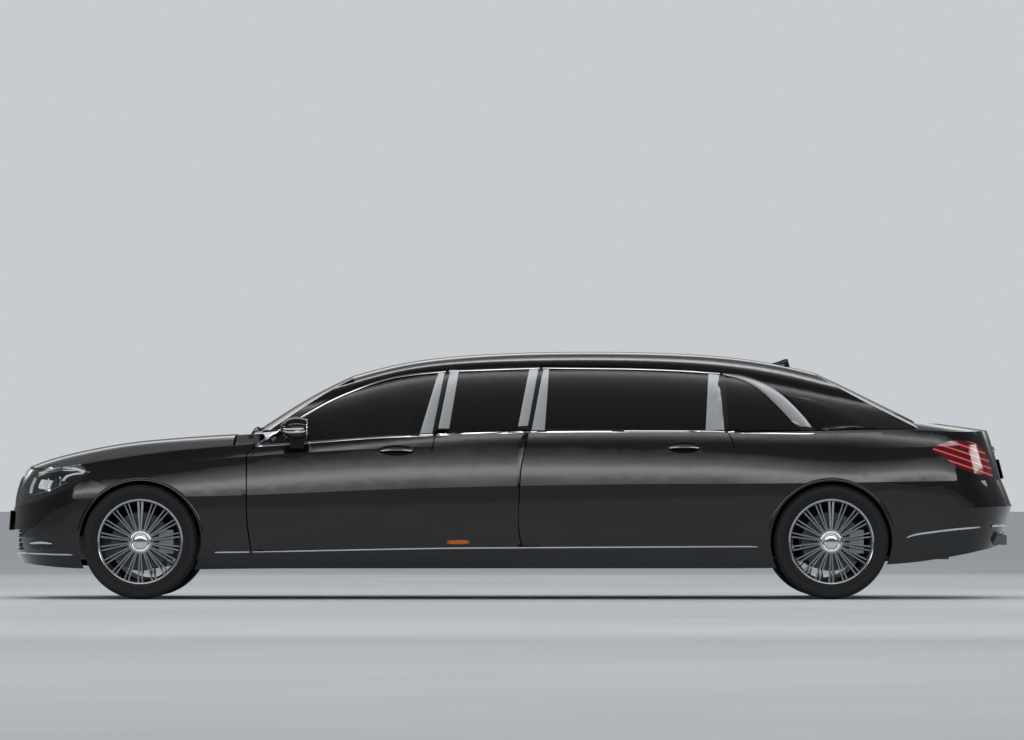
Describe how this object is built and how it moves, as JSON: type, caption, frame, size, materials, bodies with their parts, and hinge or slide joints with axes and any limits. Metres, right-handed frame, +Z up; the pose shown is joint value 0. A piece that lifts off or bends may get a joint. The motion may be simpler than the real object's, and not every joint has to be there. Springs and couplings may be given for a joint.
{
  "type": "stretch limousine",
  "caption": "Long black saloon with two front-hinged doors a side, a fixed middle panel between them, opening bonnet and boot lid, steered front wheels and free-turning wheels.",
  "frame": {"origin": "on the road under the middle of the overall length and width", "axes": "+X to the tail, +Y to the car's right, +Z up; the nose points to -X"},
  "size_m": [6.4972, 2.129, 1.5976],
  "materials": {
    "black_paint": "gloss",
    "bright_chrome": "polished",
    "tinted_glass": "polished",
    "lamp_clear": "gloss",
    "lamp_red": "gloss",
    "tyre_rubber": "matte",
    "wheel_metal": "satin",
    "brown_leather": "satin",
    "dark_plastic": "matte",
    "cast_metal": "rough",
    "steel_pipe": "satin"
  },
  "bodies": {
    "body": {"floor": "black_paint", "body_side_left": "black_paint", "body_side_right": "black_paint", "roof_panel": "black_paint", "fender_left": "black_paint", "fender_right": "black_paint", "front_bumper": "black_paint", "rear_bumper": "black_paint", "grille": "bright_chrome", "headlamps": "lamp_clear", "tail_lamps": "lamp_red", "windscreen": "tinted_glass", "rear_window": "tinted_glass", "fixed_side_glass": "tinted_glass", "dashboard": "dark_plastic", "seats_front": "brown_leather", "seats_rear": "brown_leather", "partition": "dark_plastic", "engine": "cast_metal", "exhaust": "steel_pipe", "front_subframe": "cast_metal", "rear_subframe": "cast_metal"},
    "bonnet": {"bonnet": "black_paint"},
    "boot_lid": {"boot_lid": "black_paint"},
    "steering_wheel": {"steering_wheel": "dark_plastic"},
    "door_front_left": {"door_front_left": "black_paint", "glass_front_left": "tinted_glass", "mirror_left": "black_paint"},
    "door_rear_left": {"door_rear_left": "black_paint", "glass_rear_left": "tinted_glass"},
    "knuckle_left": {"knuckle_left": "cast_metal"},
    "wheel_front_left": {"wheel_front_left": "wheel_metal", "tyre_front_left": "tyre_rubber"},
    "wheel_rear_left": {"wheel_rear_left": "wheel_metal", "tyre_rear_left": "tyre_rubber"},
    "door_front_right": {"door_front_right": "black_paint", "glass_front_right": "tinted_glass", "mirror_right": "black_paint"},
    "door_rear_right": {"door_rear_right": "black_paint", "glass_rear_right": "tinted_glass"},
    "knuckle_right": {"knuckle_right": "cast_metal"},
    "wheel_front_right": {"wheel_front_right": "wheel_metal", "tyre_front_right": "tyre_rubber"},
    "wheel_rear_right": {"wheel_rear_right": "wheel_metal", "tyre_rear_right": "tyre_rubber"}
  },
  "joints": [
    {"name": "bonnet_lift", "type": "hinge", "parent": "body", "child": "bonnet", "pos_m": [-1.79, 0, 1.045], "axis": [0, 1, 0], "range_deg": [0, 50]},
    {"name": "boot_lift", "type": "hinge", "parent": "body", "child": "boot_lid", "pos_m": [2.608, 0, 1.15], "axis": [0, -1, 0], "range_deg": [0, 75]},
    {"name": "steering_wheel_turn", "type": "hinge", "parent": "body", "child": "steering_wheel", "pos_m": [-1.1917, -0.4, 0.978], "axis": [0.9136, 0, 0.4067], "range_deg": [-468, 468]},
    {"name": "door_front_left_hinge", "type": "hinge", "parent": "body", "child": "door_front_left", "pos_m": [-1.6423, -0.939, 0.7], "axis": [0, 0, -1], "range_deg": [0, 68]},
    {"name": "door_rear_left_hinge", "type": "hinge", "parent": "body", "child": "door_rear_left", "pos_m": [0.108, -0.9415, 0.7], "axis": [0, 0, -1], "range_deg": [0, 68]},
    {"name": "steer_left", "type": "hinge", "parent": "body", "child": "knuckle_left", "pos_m": [-2.3735, -0.777, 0.36875], "axis": [0, 0, 1], "range_deg": [-36, 36]},
    {"name": "wheel_front_left_spin", "type": "hinge", "parent": "knuckle_left", "child": "wheel_front_left", "pos_m": [-2.3735, -0.812, 0.36875], "axis": [0, 1, 0], "continuous": true},
    {"name": "wheel_rear_left_spin", "type": "hinge", "parent": "body", "child": "wheel_rear_left", "pos_m": [2.0445, -0.812, 0.36875], "axis": [0, 1, 0], "continuous": true},
    {"name": "door_front_right_hinge", "type": "hinge", "parent": "body", "child": "door_front_right", "pos_m": [-1.6423, 0.939, 0.7], "axis": [0, 0, 1], "range_deg": [0, 68]},
    {"name": "door_rear_right_hinge", "type": "hinge", "parent": "body", "child": "door_rear_right", "pos_m": [0.108, 0.9415, 0.7], "axis": [0, 0, 1], "range_deg": [0, 68]},
    {"name": "steer_right", "type": "hinge", "parent": "body", "child": "knuckle_right", "pos_m": [-2.3735, 0.777, 0.36875], "axis": [0, 0, 1], "range_deg": [-36, 36]},
    {"name": "wheel_front_right_spin", "type": "hinge", "parent": "knuckle_right", "child": "wheel_front_right", "pos_m": [-2.3735, 0.812, 0.36875], "axis": [0, 1, 0], "continuous": true},
    {"name": "wheel_rear_right_spin", "type": "hinge", "parent": "body", "child": "wheel_rear_right", "pos_m": [2.0445, 0.812, 0.36875], "axis": [0, 1, 0], "continuous": true}
  ],
  "couplings": [
    {"joint": "steer_right", "follows": "steer_left", "ratio": 1},
    {"joint": "steering_wheel_turn", "follows": "steer_left", "ratio": 13}
  ]
}
